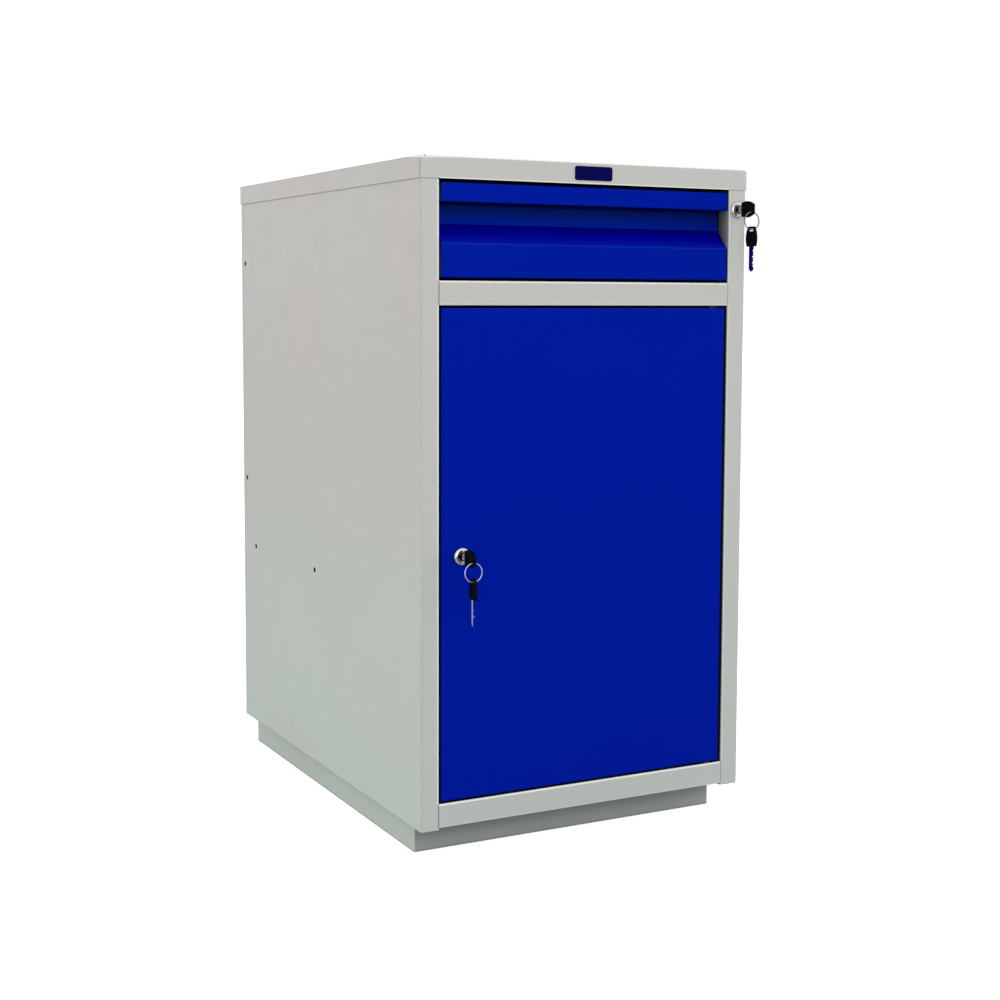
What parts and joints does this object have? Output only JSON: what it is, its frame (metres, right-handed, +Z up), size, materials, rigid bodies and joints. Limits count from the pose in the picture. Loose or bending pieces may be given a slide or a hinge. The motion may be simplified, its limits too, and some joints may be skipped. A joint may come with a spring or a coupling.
{
  "type": "tool drawer cabinet",
  "caption": "Upright sheet-metal tool pedestal with a full-width locking drawer over a hinged locking door, folded flush panels and a set-back plinth.",
  "frame": {"origin": "on the floor under the middle of the body", "axes": "+X to the right seen from the front, -Y is the front, +Z up"},
  "size_m": [0.4024, 0.5945, 0.734],
  "materials": {
    "grey_coat": "light grey powder coat with a faint orange peel, satin",
    "plinth_coat": "light grey powder coat, satin",
    "blue_coat": "strong blue powder coat, satin",
    "navy_plate": "navy moulded plate, gloss",
    "zinc": "bright zinc plate",
    "bright_steel": "nickel-plated steel",
    "chrome": "polished chrome plate",
    "black_plastic": "moulded black, semi-matt",
    "blade_steel": "nickel-plated steel",
    "blade_blue": "deep blue lacquer over steel",
    "nylon": "black nylon",
    "black_oxide": "steel with a black oxide finish"
  },
  "bodies": {
    "cabinet": {"left_side_panel": "grey_coat", "right_side_panel": "grey_coat", "back_panel": "grey_coat", "top_cap": "grey_coat", "bottom_panel": "grey_coat", "bottom_rail": "grey_coat", "mid_rail": "grey_coat", "divider_panel": "grey_coat", "shelf": "grey_coat", "shelf_bearers": "grey_coat", "slide_bracket_left": "grey_coat", "slide_bracket_right": "grey_coat", "plinth": "plinth_coat", "name_plate": "navy_plate", "slide_outer_left": "zinc", "slide_outer_right": "zinc", "bracket_screws": "zinc", "hinge_pin_lower": "black_oxide", "hinge_pin_upper": "black_oxide", "hinge_washer": "black_oxide", "drawer_lock_housing": "chrome", "drawer_lock_nut": "zinc"},
    "drawer": {"drawer_front": "blue_coat", "drawer_liner": "grey_coat", "drawer_tray": "grey_coat", "drawer_back": "grey_coat", "slide_inner_left": "zinc", "slide_inner_right": "zinc", "drawer_screws": "zinc"},
    "slide_middles": {"slide_middle_left": "zinc", "slide_middle_right": "zinc"},
    "outer_cages": {"ball_cages_outer": "bright_steel"},
    "inner_cages": {"ball_cages_inner": "bright_steel"},
    "door": {"door_panel": "blue_coat", "door_stiffener": "blue_coat", "door_hinge_bushes": "nylon", "door_lock_housing": "chrome", "door_lock_nut": "zinc"},
    "drawer_lock": {"drawer_lock_plug": "chrome", "drawer_lock_cam": "zinc", "drawer_cam_nut": "zinc"},
    "drawer_key": {"drawer_key_head": "black_plastic", "drawer_key_blade": "blade_steel"},
    "drawer_ring": {"drawer_key_ring": "bright_steel"},
    "drawer_spare": {"drawer_spare_head": "black_plastic", "drawer_spare_blade": "blade_blue"},
    "door_lock": {"door_lock_plug": "chrome", "door_lock_cam": "zinc", "door_cam_nut": "zinc"},
    "door_key": {"door_key_head": "black_plastic", "door_key_blade": "blade_steel"},
    "door_ring": {"door_key_ring": "bright_steel"},
    "door_spare": {"door_spare_head": "black_plastic", "door_spare_blade": "blade_steel"}
  },
  "joints": [
    {"name": "drawer_slide", "type": "slide", "parent": "cabinet", "child": "drawer", "axis": [0, -1, 0], "range_m": [0, 0.45]},
    {"name": "slide_middle_travel", "type": "slide", "parent": "cabinet", "child": "slide_middles", "axis": [0, -1, 0], "range_m": [0, 0.225]},
    {"name": "outer_cage_travel", "type": "slide", "parent": "cabinet", "child": "outer_cages", "axis": [0, -1, 0], "range_m": [0, 0.1125]},
    {"name": "inner_cage_travel", "type": "slide", "parent": "cabinet", "child": "inner_cages", "axis": [0, -1, 0], "range_m": [0, 0.3375]},
    {"name": "door_hinge", "type": "hinge", "parent": "cabinet", "child": "door", "pos_m": [0.16, -0.271, 0.0644], "axis": [0, 0, 1], "range_deg": [0, 110]},
    {"name": "drawer_lock_turn", "type": "hinge", "parent": "cabinet", "child": "drawer_lock", "pos_m": [0.1893, -0.279, 0.689], "axis": [0, 1, 0], "range_deg": [0, 90]},
    {"name": "drawer_key_pull", "type": "slide", "parent": "drawer_lock", "child": "drawer_key", "axis": [0, -1, 0], "range_m": [0, 0.03]},
    {"name": "drawer_ring_swing", "type": "hinge", "parent": "drawer_key", "child": "drawer_ring", "pos_m": [0.1893, -0.3058, 0.6855], "axis": [0, -1, 0], "range_deg": [-20, 20]},
    {"name": "drawer_spare_swing", "type": "hinge", "parent": "drawer_ring", "child": "drawer_spare", "pos_m": [0.1893, -0.3058, 0.6759], "axis": [0, -1, 0], "range_deg": [-120, 120]},
    {"name": "door_lock_turn", "type": "hinge", "parent": "door", "child": "door_lock", "pos_m": [-0.153, -0.279, 0.3225], "axis": [0, 1, 0], "range_deg": [0, 90]},
    {"name": "door_key_pull", "type": "slide", "parent": "door_lock", "child": "door_key", "axis": [0, -1, 0], "range_m": [0, 0.03]},
    {"name": "door_ring_swing", "type": "hinge", "parent": "door_key", "child": "door_ring", "pos_m": [-0.153, -0.3058, 0.319], "axis": [0, -1, 0], "range_deg": [-20, 20]},
    {"name": "door_spare_swing", "type": "hinge", "parent": "door_ring", "child": "door_spare", "pos_m": [-0.153, -0.3058, 0.3094], "axis": [0, -1, 0], "range_deg": [-120, 120]}
  ],
  "couplings": [
    {"joint": "slide_middle_travel", "follows": "drawer_slide", "ratio": 0.5},
    {"joint": "outer_cage_travel", "follows": "drawer_slide", "ratio": 0.25},
    {"joint": "inner_cage_travel", "follows": "drawer_slide", "ratio": 0.75}
  ]
}
